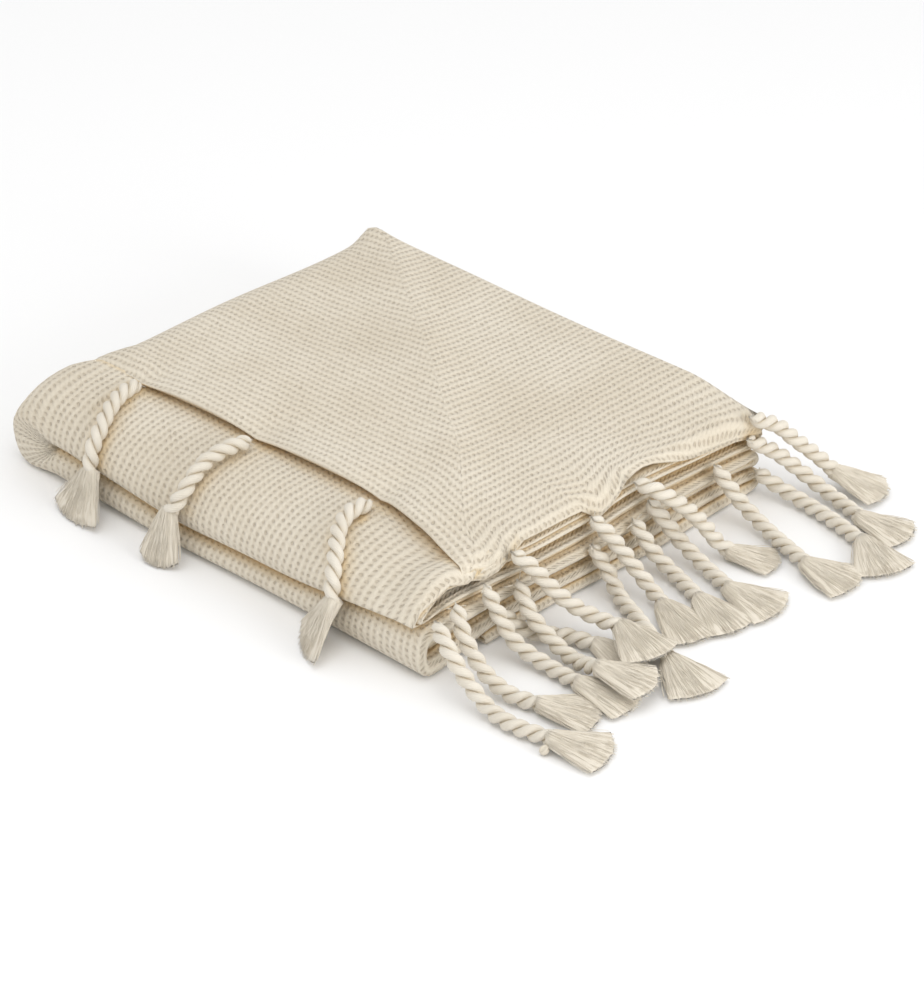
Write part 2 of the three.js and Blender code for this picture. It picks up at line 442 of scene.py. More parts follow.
# %% Rope
STRANDS = 2
LAY_LENGTH = 0.0204
STRAND_CENTRE = 0.00262
STRAND_RADIUS = 0.00288
STEPS_PER_LAY = 32
RING_SIDES = 20
TUCKED_IN = 0.007
ROUND_START = 0.008
LAID_RIGHT = (2,)


def strand_ring(bm, phase, start):
    """A ring that faces along the strand's lay, with its place round the strand kept in a layer."""
    climb = -LAY_LENGTH / (2 * math.pi)
    tilt = math.atan2(STRAND_CENTRE, climb)
    place = (Matrix.Rotation(phase, 4, "Z") @ Matrix.Translation((STRAND_CENTRE, 0, start))
             @ Matrix.Rotation(-tilt, 4, "X"))
    ring = bmesh.ops.create_circle(bm, segments=RING_SIDES, radius=STRAND_RADIUS)["verts"]
    around = bm.verts.layers.float["around"]
    for k, v in enumerate(ring):
        v[around] = k / RING_SIDES
        v.co *= 1 + 0.022 * math.cos(math.pi * k)
    bmesh.ops.transform(bm, matrix=place, verts=ring)
    for v in ring:
        v[bm.verts.layers.float["base"]] = v.co.z
    return ring


def straight_rope(length):
    """Two strands from Z = length down to 0, wound to the left."""
    bm = bmesh.new()
    for layer in ("around", "base", "along"):
        bm.verts.layers.float.new(layer)
    steps = round(length / LAY_LENGTH * STEPS_PER_LAY)
    turn = 2 * math.pi * length / LAY_LENGTH
    for strand in range(STRANDS):
        ring = strand_ring(bm, 2 * math.pi * strand / STRANDS, length)
        edges = list({e for v in ring for e in v.link_edges})
        bmesh.ops.spin(bm, geom=ring + edges, cent=(0, 0, 0), axis=(0, 0, 1),
                       dvec=(0, 0, -length / steps), angle=turn, steps=steps)
    around, base, along = (bm.verts.layers.float[k] for k in ("around", "base", "along"))
    for v in bm.verts:
        v[along] = (v[base] - v.co.z) * math.hypot(1, 2 * math.pi * STRAND_CENTRE / LAY_LENGTH)
    bmesh.ops.holes_fill(bm, edges=[e for e in bm.edges if e.is_boundary], sides=RING_SIDES)
    bmesh.ops.recalc_face_normals(bm, faces=bm.faces)
    tube_uv(bm, around, along)
    return bm


def tucked(places):
    """The rope's places with a little more rope at the start, which runs in under the edge."""
    way_in = (places[0] - places[1]).normalized()
    return [places[0] + way_in * TUCKED_IN, *places[1:]]


def make_rope(index, places):
    line, length = even_steps(catmull_rom(tucked(places)), 0.0008)
    bm = straight_rope(length)
    if index in LAID_RIGHT:
        bmesh.ops.scale(bm, vec=(-1, 1, 1), verts=bm.verts)
        bmesh.ops.reverse_faces(bm, faces=bm.faces)
    points = points_of(bm)
    dome = np.sqrt(1 - (1 - np.clip(points[:, 2] / ROUND_START, 0.02, 1)) ** 2)
    points[:, :2] *= dome[:, None]
    move_points(bm, bend_along(points, line, length))
    rope = finish_piece(f"cord_{index:02d}", bm, ROPE_FINISH)
    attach(rope, "root")
    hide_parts(f"fringe_rope_{index:02d}")
    return rope, line, length


ROPES = [make_rope(i + 1, places) for i, (_, places, _) in enumerate(CORDS)]
print("rope lengths, mm:", [round(1000 * length) for _, _, length in ROPES])

# %% [markdown]
# ## Combing out a tassel
# At its end each cord is cut and combed, and the yarns fall open into a flat fan that lies on the
# table. A ribbed body, extruded ring by ring from one circle, gives the fan its bulk. Over it lie
# separate yarns, all of them extruded together in a few steps, which wander a little, cross each
# other and end at uneven lengths.

# %% Tassel
BODY_SIDES = 150
BODY_RINGS = 12
LOOSE_YARNS = 150
YARN_STEPS = 9
YARN_RADIUS = 0.00030
LOWERED = 0.0034
TASSEL_WIDTHS = [48, 30, 50, 44, 42, 42, 38, 38, 42, 44, 44, 42, 44, 34, 44, 38, 44, 38]


def extruded_column(bm, ring, rings):
    """Draws a ring up by one unit in even steps and closes both ends."""
    edges = list({e for v in ring for e in v.link_edges})
    ends = [edges]
    for _ in range(rings):
        out = bmesh.ops.extrude_edge_only(bm, edges=edges)["geom"]
        edges = [g for g in out if isinstance(g, bmesh.types.BMEdge) and g.is_boundary]
        bmesh.ops.translate(bm, vec=(0, 0, 1 / rings), verts=list({v for e in edges for v in e.verts}))
    ends.append(edges)
    return ends


def fan_half_width(s, tip_width):
    return 0.0048 + (tip_width / 2 - 0.0048) * s ** 0.8


def fan_half_thickness(s):
    return (0.0050 * (1 - s) ** 1.3 + 0.0019 * (1 - (1 - s) ** 1.3)) * (1 - 0.6 * ease((s - 0.8) / 0.2))


def tassel_body(length, tip_width, rng):
    bm = bmesh.new()
    ring = bmesh.ops.create_circle(bm, segments=BODY_SIDES, radius=1)["verts"]
    extruded_column(bm, ring, BODY_RINGS)
    bmesh.ops.holes_fill(bm, edges=[e for e in bm.edges if e.is_boundary], sides=BODY_SIDES)
    bmesh.ops.recalc_face_normals(bm, faces=bm.faces)
    p = points_of(bm)
    angle = np.arctan2(p[:, 1], p[:, 0])
    s = p[:, 2]
    rib = np.round(angle / (2 * math.pi) * BODY_SIDES).astype(int) % BODY_SIDES
    depth = rng.uniform(0.86, 1.0, BODY_SIDES)[rib]
    cut = rng.uniform(-0.03, 0.01, BODY_SIDES)[rib]
    x = fan_half_width(s, tip_width) * np.sign(np.cos(angle)) * abs(np.cos(angle)) ** 0.8
    z = fan_half_thickness(s) * np.sin(angle) * (1 - (1 - depth) * np.minimum(1, 3 * s))
    y = length * (s * (1 - 0.17 * (x / tip_width * 2) ** 2) + cut * s ** 6)
    move_points(bm, np.stack([x, y, z], axis=1))
    return bm, rng.uniform(0, 1, BODY_SIDES)[rib]


def loose_yarns(length, tip_width, rng):
    bm = bmesh.new()
    rings = []
    for k in range(LOOSE_YARNS):
        rings += bmesh.ops.create_circle(bm, segments=4, radius=0.25,
                                         matrix=Matrix.Translation((k, 0, 0)))["verts"]
    extruded_column(bm, rings, YARN_STEPS)
    bmesh.ops.holes_fill(bm, edges=[e for e in bm.edges if e.is_boundary], sides=4)
    bmesh.ops.recalc_face_normals(bm, faces=bm.faces)
    p = points_of(bm)
    yarn = np.round(p[:, 0]).astype(int)
    s = p[:, 2]
    lateral = np.clip(rng.normal(0, 0.52, LOOSE_YARNS), -1, 1)[yarn]
    above = rng.choice([-1, 1], LOOSE_YARNS, p=[0.3, 0.7])[yarn]
    wander = rng.normal(0, 0.08, LOOSE_YARNS)[yarn]
    wave = rng.uniform(0, 2 * math.pi, LOOSE_YARNS)[yarn]
    reach = rng.uniform(0.90, 1.06, LOOSE_YARNS)[yarn]
    flat = np.clip(lateral + wander * np.sin(2.6 * s + wave), -1.05, 1.05)
    width, thick = fan_half_width(s, tip_width), fan_half_thickness(s)
    x = width * flat
    y = length * s * reach * (1 - 0.17 * flat ** 2)
    z = above * thick * np.sqrt(np.clip(1 - flat ** 2, 0, 1)) + 0.0004 * np.sin(7 * s + wave)
    radius = YARN_RADIUS * 4 * (1 - 0.45 * s)
    x += (p[:, 0] - yarn) * radius
    z += p[:, 1] * radius
    move_points(bm, np.stack([x, y, z], axis=1))
    return bm, rng.uniform(0, 1, LOOSE_YARNS)[yarn]


def laid_on_table(points, floor=0.0004):
    """Presses what would sink under the table into a thin layer on it."""
    low = points[:, 2] < 0.0022
    points[low, 2] = floor + (0.0022 - floor) * np.exp((points[low, 2] - 0.0022) / 0.0035)
    return points


def make_tassel(index, line, tip):
    rng = np.random.default_rng(40 + index)
    neck = Vector(line[-1])
    ahead = (tip - neck).normalized()
    across = ahead.cross(Vector((0, 0, 1))).normalized()
    upward = across.cross(ahead)
    length = (tip - neck).length + (0.009 if index <= len(SIDE_CORDS) else 0.004)
    width = TASSEL_WIDTHS[index - 1] / 1000
    tints = []
    whole = bmesh.new()
    for part, tint in (tassel_body(length, width, rng), loose_yarns(length, width, rng)):
        local = points_of(part)
        local[:, 2] -= LOWERED * ease(local[:, 1] / length)
        local[:, 1] -= 0.004
        world = (np.array(neck) + local[:, :1] * np.array(across) + local[:, 1:2] * np.array(ahead)
                 + local[:, 2:] * np.array(upward))
        move_points(part, laid_on_table(world))
        mesh = bpy.data.meshes.new("part")
        part.to_mesh(mesh)
        part.free()
        whole.from_mesh(mesh)
        bpy.data.meshes.remove(mesh)
        tints.append(tint)
    tassel = finish_piece(f"tassel_{index:02d}", whole, TASSEL_FINISH)
    tassel.data.attributes.new("tint", "FLOAT", "POINT").data.foreach_set("value", np.concatenate(tints))
    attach(tassel, "root")
    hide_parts(f"fringe_tassel_{index:02d}")
    return tassel


TASSELS = [make_tassel(i + 1, ROPES[i][1], tip) for i, (_, _, tip) in enumerate(CORDS)]
print("tassels:", len(TASSELS), "with", len(TASSELS[0].data.polygons), "faces each")

# %% [markdown]
# ## Hitching the cords to the edge
# A bundle of yarn is pulled through the edge of the cloth, folded over it and twisted into the
# cord. What shows is a small lump of fat loops round the edge, with a few hairs standing off it.

# %% Hitch and tie knot
HITCH_LOOPS = 3
LOOP_SIZE = (0.0024, 0.0052, 0.0040)
TUFT_YARNS = 14
TUFTED = (8, 10, 11, 12)


def make_hitch(index, centre, ahead):
    rng = np.random.default_rng(80 + index)
    ahead = Vector(ahead)
    across = ahead.cross(Vector((0, 0, 1))).normalized()
    turn = Matrix((across, ahead, across.cross(ahead))).transposed().to_4x4()
    bm = bmesh.new()
    for k in range(HITCH_LOOPS):
        place = (Matrix.Translation(centre) @ turn
                 @ Matrix.Translation(((k - 1) * 0.0029, -0.0004 * abs(k - 1), 0))
                 @ Matrix.Rotation(0.35, 4, "Y") @ Matrix.Diagonal((*LOOP_SIZE, 1)))
        bmesh.ops.create_uvsphere(bm, u_segments=18, v_segments=12, radius=1, matrix=place)
    count, longest = (4 * TUFT_YARNS, 0.0075) if index in TUFTED else (TUFT_YARNS, 0.0038)
    for _ in range(count):
        way = turn.to_3x3() @ Vector(rng.normal(0, (1.2, 0.9, 0.8)))
        way.normalize()
        size = rng.uniform(0.0018, longest)
        place = (Matrix.Translation(centre + way * 0.0030)
                 @ way.to_track_quat("Z", "Y").to_matrix().to_4x4()
                 @ Matrix.Translation((0, 0, size / 2)))
        bmesh.ops.create_cone(bm, cap_ends=True, segments=4, radius1=0.00030, radius2=0.00016,
                              depth=size, matrix=place)
    hitch = finish_piece(f"hitch_{index:02d}", bm, TASSEL_FINISH)
    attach(hitch, "root")
    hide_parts(f"edge_hitch_{index:02d}")
    return hitch


def make_tie_knot():
    """A small overhand knot: a ball of yarn with three turns laid round it."""
    low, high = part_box("tie_knot")
    centre = (low + high) / 2
    radius = (high.z - low.z) / 2
    bm = bmesh.new()
    bmesh.ops.create_uvsphere(bm, u_segments=16, v_segments=10, radius=0.75 * radius,
                              matrix=Matrix.Translation(centre))
    for k, lean in enumerate((0.2, 1.2, 2.3)):
        place = (Matrix.Translation(centre) @ Matrix.Rotation(k * 1.1, 4, "Z")
                 @ Matrix.Rotation(lean, 4, "X"))
        ring = bmesh.ops.create_circle(
            bm, segments=8, radius=0.34 * radius,
            matrix=place @ Matrix.Translation((0.66 * radius, 0, 0)) @ Matrix.Rotation(math.pi / 2, 4, "X"),
        )["verts"]
        edges = list({e for v in ring for e in v.link_edges})
        bmesh.ops.spin(bm, geom=ring + edges, cent=centre, axis=place.to_3x3() @ Vector((0, 0, 1)),
                       angle=2 * math.pi, steps=20, use_merge=True)
    bmesh.ops.recalc_face_normals(bm, faces=bm.faces)
    knot = finish_piece("small_knot", bm, TASSEL_FINISH)
    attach(knot, "root")
    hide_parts("tie_knot")
    return knot


HITCHES = [make_hitch(i + 1, centre, ROPES[i][1][8] - ROPES[i][1][0])
           for i, (centre, _, _) in enumerate(CORDS)]
KNOT = make_tie_knot()

# %% [markdown]

# %% [markdown]
# ## Folding the cloth
# The panel is one sheet of knitting. It is knitted flat and then folded three times, and the model
# does the same: a flat grid with a thickness is carried through three folds. Each fold is a path of
# straight runs and half-turns, and a point's height above the middle of the cloth becomes its
# distance from that path. So every ply keeps its thickness, and the folds come out round.


# %% Runs and half-turns
def wind(run, lift, start, heading, moves):
    """Lays a strip along straight runs (radius 0) and half-turns (radius above 0 is to the left)."""
    place = np.zeros((len(run), 2))
    at, ahead, begun = np.array(start), np.array(heading, float), 0.0
    for k, (length, radius) in enumerate(moves):
        left = np.array((-ahead[1], ahead[0]))
        here = (run >= begun) | (k == 0)
        gone = (run[here] - begun)[:, None]
        up = lift[here][:, None]
        if radius == 0:
            place[here] = at + gone * ahead + up * left
            at = at + ahead * length
        else:
            turn = math.copysign(1, radius)
            centre = at + left * radius
            angle = np.minimum(gone / abs(radius), math.pi)
            spoke = ahead * np.sin(angle) - turn * left * np.cos(angle)
            place[here] = centre + spoke * (abs(radius) - turn * up)
            at = centre + left * radius
            ahead = -ahead
        begun += length
    return place[:, 0], place[:, 1]


def turn_length(radius):
    return math.pi * abs(radius)


# %% [markdown]
# The throw is first doubled, fringed end on fringed end. The doubled cloth is rolled up across
# its width: a top flap that stops short of the -Y side, a layer back to that side, round a fat
# roll, and two more layers inside. Last, the strip is folded in half, and the fold becomes the
# rounded -X end. That makes sixteen plies.

# %% The three folds
CLOTH = 0.0035
DOUBLE = 2 * PLY
END_ROLL = HEIGHT / 2

BACK_TURN = SIDE - DOUBLE
ROLL_TURN = -SIDE + 1.5 * DOUBLE
ACROSS_MOVES = [
    (BACK_TURN - FLAP_EDGE, 0),
    (turn_length(DOUBLE / 2), -DOUBLE / 2),
    (BACK_TURN - ROLL_TURN, 0),
    (turn_length(DOUBLE), DOUBLE),
    (BACK_TURN - ROLL_TURN, 0),
    (turn_length(DOUBLE / 2), DOUBLE / 2),
    (BACK_TURN - ROLL_TURN - 0.002, 0),
]
STRIP_RUN = 2 * END_FACE - END_ROLL
LENGTH_MOVES = [(STRIP_RUN, 0), (turn_length(HEIGHT / 4), HEIGHT / 4), (STRIP_RUN, 0)]
HALF_LENGTH = sum(length for length, _ in LENGTH_MOVES) - PLY / 2
DOUBLING_MOVES = [(HALF_LENGTH, 0), (turn_length(PLY / 2), -PLY / 2), (HALF_LENGTH, 0)]
ACROSS_TOTAL = sum(length for length, _ in ACROSS_MOVES)
ALONG_TOTAL = sum(length for length, _ in DOUBLING_MOVES)


def fold(across, along, lift):
    """Carries points of the flat cloth into the squared-up pile."""
    reach, lift = wind(along, lift, (0.0, PLY / 2), (1, 0), DOUBLING_MOVES)
    y, lift = wind(across, lift, (FLAP_EDGE, 1.5 * DOUBLE), (1, 0), ACROSS_MOVES)
    x, z = wind(reach, -lift, (END_FACE, 0.75 * HEIGHT), (-1, 0), LENGTH_MOVES)
    return x, y, z, reach


# %% [markdown]
# ## How the pile really lies
# Squared-up folds look like a block. A real pile settles: the upper roll is fuller than the lower
# one, the flap's edge lifts between its cords and is pulled down at them, the corners droop, the
# ply ends don't line up, and a soft ridge runs over the top. Each of these is a smooth shift that
# fades away from its own place, so the plies stay in order.


# %% Settling
def soft_line(at, places, values, blur=0.02):
    """A line through a few values, rounded off by averaging near places."""
    return np.mean([np.interp(at + d * blur, places, values) for d in (-1, -0.5, 0, 0.5, 1)], axis=0)


EDGE_PINS = (-0.127, -0.019, 0.092, 0.172)
RIDGE_SLOPE = 0.75
ROUND_END = END_ROLL - END_FACE
HANG_FROM = END_FACE - 0.060
HANG_RADIUS = 0.005
HANG_BEND = END_FACE + 0.0007 - HANG_RADIUS - PLY
RAISED = 0.0066
A_BEGINS = sum(length for length, _ in ACROSS_MOVES[:2])
A_ENDS = A_BEGINS + ACROSS_MOVES[2][0]
D_BEGINS = sum(length for length, _ in ACROSS_MOVES[:6])


def openness(x):
    """0 where the flap's edge is held down by a cord or ends, up to 1 between two cords."""
    lens = np.zeros_like(x)
    for left, right in zip(EDGE_PINS, EDGE_PINS[1:]):
        share = np.clip((x - left) / (right - left), 0, 1)
        lens = np.maximum(lens, np.sin(math.pi * share) ** 0.6 * (share > 0) * (share < 1))
    return lens


def ply_ends(x, y, across, under, reach):
    """How far each layer's end stands back from the end face."""
    near = ease((x - 0.09) / 0.10)
    edges = np.cumsum([0] + [length for length, _ in ACROSS_MOVES])
    middles = (edges[:-1] + edges[1:]) / 2
    runs = [edges[0], edges[1] - 0.01, edges[2] + 0.01, edges[3] - 0.03, edges[4] + 0.03,
            edges[5] - 0.01, edges[6] + 0.01, edges[7]]
    top = np.interp(across, runs, [0, 0, -0.001, -0.001, -0.004, -0.003, -0.010, -0.012])
    low = np.interp(across, runs, [-0.011, -0.009, -0.003, -0.003, -0.007, -0.006, -0.004, -0.014])
    folded = np.interp(across, runs, [-0.001, 0, -0.003, -0.002, 0, -0.002, -0.007, -0.010])
    # Inside the roll the innermost layer has slipped far back, which leaves it hollow.
    hollow = -0.026 * (across > D_BEGINS) * ease((-y - 0.100) / 0.016)
    upper = np.where(under, low, top) + hollow
    return near * np.where(reach < HALF_LENGTH / 2, upper, folded)


def settle(x, y, z, across, under, reach):
    z_flat = z
    flap = across < ACROSS_MOVES[0][0]
    upper_strip = reach < HALF_LENGTH / 2
    x = x + ply_ends(x, y, across, under, reach)

    # At both ends of its edge the flap lies flush on the roll: it is pressed thin, and the roll is
    # fuller. Heights are taken from the strip's middle, so this goes on round the -X end.
    beyond = np.minimum(x - ROUND_END, 0)
    over_mid = z - HEIGHT / 2
    thick = np.maximum(np.hypot(beyond, over_mid), 1e-6)
    on_upper = ease((over_mid / thick + 0.9) / 0.7)
    at_ends = np.maximum(ease((-0.122 - x) / 0.018), 0.9 * ease((x - 0.158) / 0.016))
    flush = on_upper * at_ends * ease((-y - 0.066) / 0.034)
    thinner = np.maximum(0.60 * (1 - openness(x)) * on_upper * (x > ROUND_END), 0.92 * flush)
    thinner = thinner * (1 - ease(across / 0.045))
    foot = FLAP_FOOT - HEIGHT / 2
    filled = np.where(flap, foot + RAISED * flush + (thick - foot) * (1 - thinner),
                      thick * (1 + RAISED / foot * flush))
    sunk = flush * ease((-0.122 - x) / 0.018) * (1 - ease(across / 0.012))
    filled = filled - np.where(flap, 0.0014 * sunk, 0)
    x = np.where(x < ROUND_END, ROUND_END + beyond * filled / thick, x)
    z = HEIGHT / 2 + over_mid * filled / thick

    # The roll is pushed out at the -X end, a little beyond the rest of the pile.
    inside = np.clip((-y - SIDE + 1.5 * DOUBLE) / (1.5 * DOUBLE), 0, 1)
    roll_out = 1.5 * DOUBLE * (1 + np.sqrt(1 - inside ** 2)) * (1 + RAISED / foot * flush)
    now_out = END_ROLL + (roll_out - END_ROLL) * ease((-y - 0.100) / 0.014)
    wanted = END_ROLL + 0.0095 * ease((-y - 0.070) / 0.050)
    wider = np.clip(wanted / now_out, 1, 2.8)
    beyond = np.minimum(x - ROUND_END, 0)
    over_mid = z - HEIGHT / 2
    facing_end = beyond ** 2 / np.maximum(beyond ** 2 + over_mid ** 2, 1e-12)
    x = np.where(x < ROUND_END, ROUND_END + beyond * wider, x)
    z = HEIGHT / 2 + over_mid * (1 + (wider - 1) * facing_end ** 0.8)

    # The flap's edge: its line, the lower ply's set-back, and the way it is held down.
    by_edge = np.where(flap & upper_strip, 1 - ease(across / 0.09), 0)
    edge_line = soft_line(x, [-0.19, -0.123, -0.014, 0.094, 0.150, 0.172, 0.204],
                          [-0.106, -0.106, -0.102, -0.098, -0.113, -0.122, -0.127], 0.012)
    y = y + by_edge * (edge_line - FLAP_EDGE)
    y = y + np.where(flap & upper_strip & under, 0.004 * (1 - ease(across / 0.05)), 0)

    # The two rolls at the -Y side share its height unevenly, and the upper one slopes down.
    crease = soft_line(x, [-0.187, -0.12, -0.034, 0.074, 0.176], [0.023, 0.0246, 0.014, 0.019, 0.037])
    rolled = ease((-y - 0.096) / 0.054)
    knots = [0, DOUBLE, HEIGHT / 2, FLAP_FOOT, HEIGHT]
    below = np.interp(z, knots, [0, 0.0003, 0, 0, 0])
    share = np.interp(z, knots, [0, 0, 1, 0, 0])
    above = np.interp(z, knots, [0, 0, 0, FLAP_FOOT, HEIGHT])
    z = (1 - rolled) * z + rolled * (below + share * crease + above)
    slope = 0.0106 * np.clip((-y + FLAP_EDGE) / 0.048, 0, 1.25) ** 2.6
    z = z - slope * np.clip((z - crease) / (FLAP_FOOT - crease), 0, 1)

    # Between two cords the flap's edge stands a little open.
    near_edge = np.where(flap & upper_strip, 1 - ease(across / 0.045), 0)
    z = z + 0.0014 * near_edge * openness(x)

    # The outermost layer hangs over the ply ends in a rounded edge, lower where cords pull at it.
    # That is the flap, and beyond the flap's edge the layer that goes round the roll.
    outer = (across > A_BEGINS) * ease((A_ENDS + 0.006 - across) / 0.016)
    amount = np.where(flap, 1, outer * ease((-y - 0.108) / 0.012)) * upper_strip
    off = np.where(flap, (z_flat - HEIGHT + PLY) * (1 - thinner), z_flat - HEIGHT + 3 * PLY)
    off = np.clip(off, -PLY, PLY)
    hung = soft_line(y, [-0.160, -0.154, -0.145, -0.131, -0.122, -0.113, -0.099, -0.093, -0.085,
                         -0.076, -0.014, -0.004, 0.008, 0.026, 0.047, 0.085, 0.122, 0.147, 0.160],
                     [0.014, 0.006, 0.000, -0.001, 0.004, 0.009, 0.013, 0.006, 0.000,
                      -0.004, -0.003, 0.008, 0.006, -0.004, -0.006, 0.002, 0.005, 0.010, 0.011], 0.004)
    run = (x - HANG_FROM) * (1 + hung / (END_FACE - HANG_FROM)) - (HANG_BEND - HANG_FROM)
    bent = np.clip(run / HANG_RADIUS, 0, math.pi / 2)
    outside = HANG_RADIUS + off
    hung_x = np.where(run > 0, HANG_BEND + outside * np.sin(bent), HANG_BEND + run)
    dropped = outside * (1 - np.cos(bent)) + np.maximum(0, run - HANG_RADIUS * math.pi / 2)
    amount = amount * (x > HANG_FROM)
    x = x + amount * (hung_x - x)
    z = z - amount * dropped

    # The ply ends sag where cords hang from them, and the far corner droops.
    end_sag = soft_line(y, [-0.17, -0.127, -0.073, -0.03, -0.012, 0.004, 0.024, 0.06, 0.095, 0.125,
                            0.147, 0.158, 0.17],
                        [0.003, 0.001, 0.001, 0.003, 0.005, 0.004, 0.001, 0.001, 0.002, 0.002,
                         0.004, 0.008, 0.010], 0.006)
    corner = ease((y - 0.06) / 0.06)
    near_end = ease((x - 0.155 + 0.030 * corner) / (0.040 + 0.030 * corner))
    z = z * (1 - near_end * end_sag / HEIGHT * np.clip(z / HEIGHT, 0, 1) ** 0.6)

    # A soft ridge runs over the top, and the back corner stands up in a small peak.
    off_ridge = (y - FLAP_EDGE - RIDGE_SLOPE * (END_FACE - x)) / math.hypot(1, RIDGE_SLOPE)
    sharp = np.sqrt(off_ridge ** 2 + 0.003 ** 2) - 0.003
    ridge = 0.0042 * np.exp(-sharp / 0.018) * ease((0.17 - x) / 0.10)
    peak = 0.0075 * np.exp(-(((x + 0.174) / 0.011) ** 2 + ((y - 0.156) / 0.013) ** 2))
    z = z + (ridge + peak) * np.clip(z / HEIGHT, 0, 1) ** 3

    # The folds at the back don't line up either.
    behind = ease((y - 0.10) / 0.06)
    y = y - behind * 0.004 * (0.5 + 0.5 * np.sin(z / 0.0167 * math.pi * 1.15 + 9 * x))
    # Slow waves, too small to make plies meet.
    z = z + 0.0007 * np.sin(31 * x + 2) * np.sin(27 * y + 1) * np.clip(z / HEIGHT, 0, 1)
    y = y + 0.0012 * np.sin(24 * x + 40 * z)
    x = x + 0.0014 * np.sin(34 * y + 70 * z) * ease((abs(x) - 0.1) / 0.09)
    return x, y, np.maximum(z, 0.0002)


# %% [markdown]
# The grid's lines stand close where the cloth bends and wide where it lies flat, so that the round
# folds are smooth and the whole sheet stays light. The rim is thinned towards its edge, because
# knitting ends in a soft rounded row and not in a cut wall.

# %% The sheet of knitting
FLAT_STEP = 0.0088
RIM = 0.0016


def stations(moves, step, turn_steps, fine_edges):
    """Distances along the cloth: wide on the runs, close round the turns and at the edges."""
    places = [0.0]
    for length, radius in moves:
        count = turn_steps(abs(radius)) if radius else max(1, round(length / step))
        places += list(places[-1] + length * np.arange(1, count + 1) / count)
    total = places[-1]
    for edge in fine_edges:
        places += [edge, total - edge]
    return np.unique(np.round(places, 6))


def around_turn(radius):
    return 8 if radius < 0.005 else 12


def along_stations():
    """Along the cloth the strip's fold comes twice, once for each half of the doubled throw."""
    first = STRIP_RUN
    fold_end = first + turn_length(HEIGHT / 4)
    half = [(first - 0.03, 0), (0.03, 0), (fold_end - first, 0.02), (HALF_LENGTH - fold_end, 0)]
    moves = half + [(turn_length(PLY / 2), PLY / 2)] + half[::-1]
    return stations(moves, FLAT_STEP, lambda r: 6 if r < 0.01 else 18, (0.0005, RIM, 0.005, 0.011))


def knit_sheet():
    across_at = stations(ACROSS_MOVES, FLAT_STEP, around_turn, (0.0005, RIM, 0.0045))
    along_at = along_stations()
    columns, rows = len(across_at), len(along_at)
    bm = bmesh.new()
    bmesh.ops.create_grid(bm, x_segments=columns - 1, y_segments=rows - 1, size=0.5)
    bmesh.ops.scale(bm, vec=(columns - 1, rows - 1, 1), verts=bm.verts)
    bmesh.ops.translate(bm, vec=((columns - 1) / 2, (rows - 1) / 2, 0), verts=bm.verts)
    bmesh.ops.solidify(bm, geom=bm.faces[:], thickness=1)
    bmesh.ops.recalc_face_normals(bm, faces=bm.faces)
    grid = points_of(bm)
    column = np.round(grid[:, 0]).astype(int)
    row = np.round(grid[:, 1]).astype(int)
    level = grid[:, 2] - grid[:, 2].min() - 0.5
    across, along = across_at[column], along_at[row]
    rim = np.minimum.reduce([across, ACROSS_TOTAL - across, along, ALONG_TOTAL - along])
    thinned = np.sqrt(1 - (1 - np.clip(rim / RIM, 0.05, 1)) ** 2)
    lift = level * CLOTH * thinned
    x, y, z, reach = fold(across, along, lift)
    x, y, z = settle(x, y, z, across, along > ALONG_TOTAL / 2, reach)
    places = np.stack([x, y, z], axis=1)
    move_points(bm, places)
    knit_uv(bm, places, column, row, level, columns, rows, across_at)
    print(f"sheet: {columns} x {rows} lines, {2 * len(bm.faces)} triangles")
    return bm


# %% [markdown]
# The stitches must keep their size wherever the cloth bends. So the UV map isn't the flat grid:
# across, it is the distance that was really travelled over the outer face of each row, and along,
# the distance down the middle of the top flap.


# %% Stitch-true UV map
def knit_uv(bm, places, column, row, level, columns, rows, across_at):
    face = level > 0
    table = np.zeros((rows, columns, 3))
    table[row[face], column[face]] = places[face]
    back = np.zeros((rows, columns, 3))
    back[row[~face], column[~face]] = places[~face]
    steps = np.maximum(np.linalg.norm(np.diff(table, axis=1), axis=2),
                       np.linalg.norm(np.diff(back, axis=1), axis=2))
    travelled = np.concatenate([np.zeros((rows, 1)), np.cumsum(steps, axis=1)], axis=1)
    middle = int(np.searchsorted(across_at, 0.13))
    down = np.maximum(np.linalg.norm(np.diff(table[:, middle], axis=0), axis=1),
                      np.linalg.norm(np.diff(back[:, middle], axis=0), axis=1))
    lengthwise = np.concatenate([[0], np.cumsum(down)])
    uv = bm.loops.layers.uv.new("knit")
    bm.verts.index_update()
    for f in bm.faces:
        for loop in f.loops:
            i = loop.vert.index
            loop[uv].uv = (travelled[row[i], column[i]], lengthwise[row[i]])


# %% [markdown]
# ## The knitted face
# Seen from the purl side the cloth is a lattice of small bumps in low ridges, with a leaning
# dash-shaped hole between them. The material works this out from the UV map: it divides it into
# stitches, and the place inside one stitch gives the bump, the hole and the colour. The holes and
# the valleys between the ridges are darkened with painted shade. Along the ridge on top the rows
# meet at a right angle, because a corner of the throw is folded in there.
# In the folds light bounces from ply to ply and turns warm; the finish paints that warm shade in
# too, by the points' own measure of how sheltered they are.

# %% Knit finish
STITCH_WIDE = 0.0043
RIDGE_TALL = 0.0058
KNIT = (0.695, 0.622, 0.500, 1)
KNIT_LIGHT = (0.763, 0.697, 0.580, 1)
KNIT_GAP_SHADE = (0.370, 0.290, 0.190, 1)
FOLD_SHADE = (0.740, 0.550, 0.290, 1)


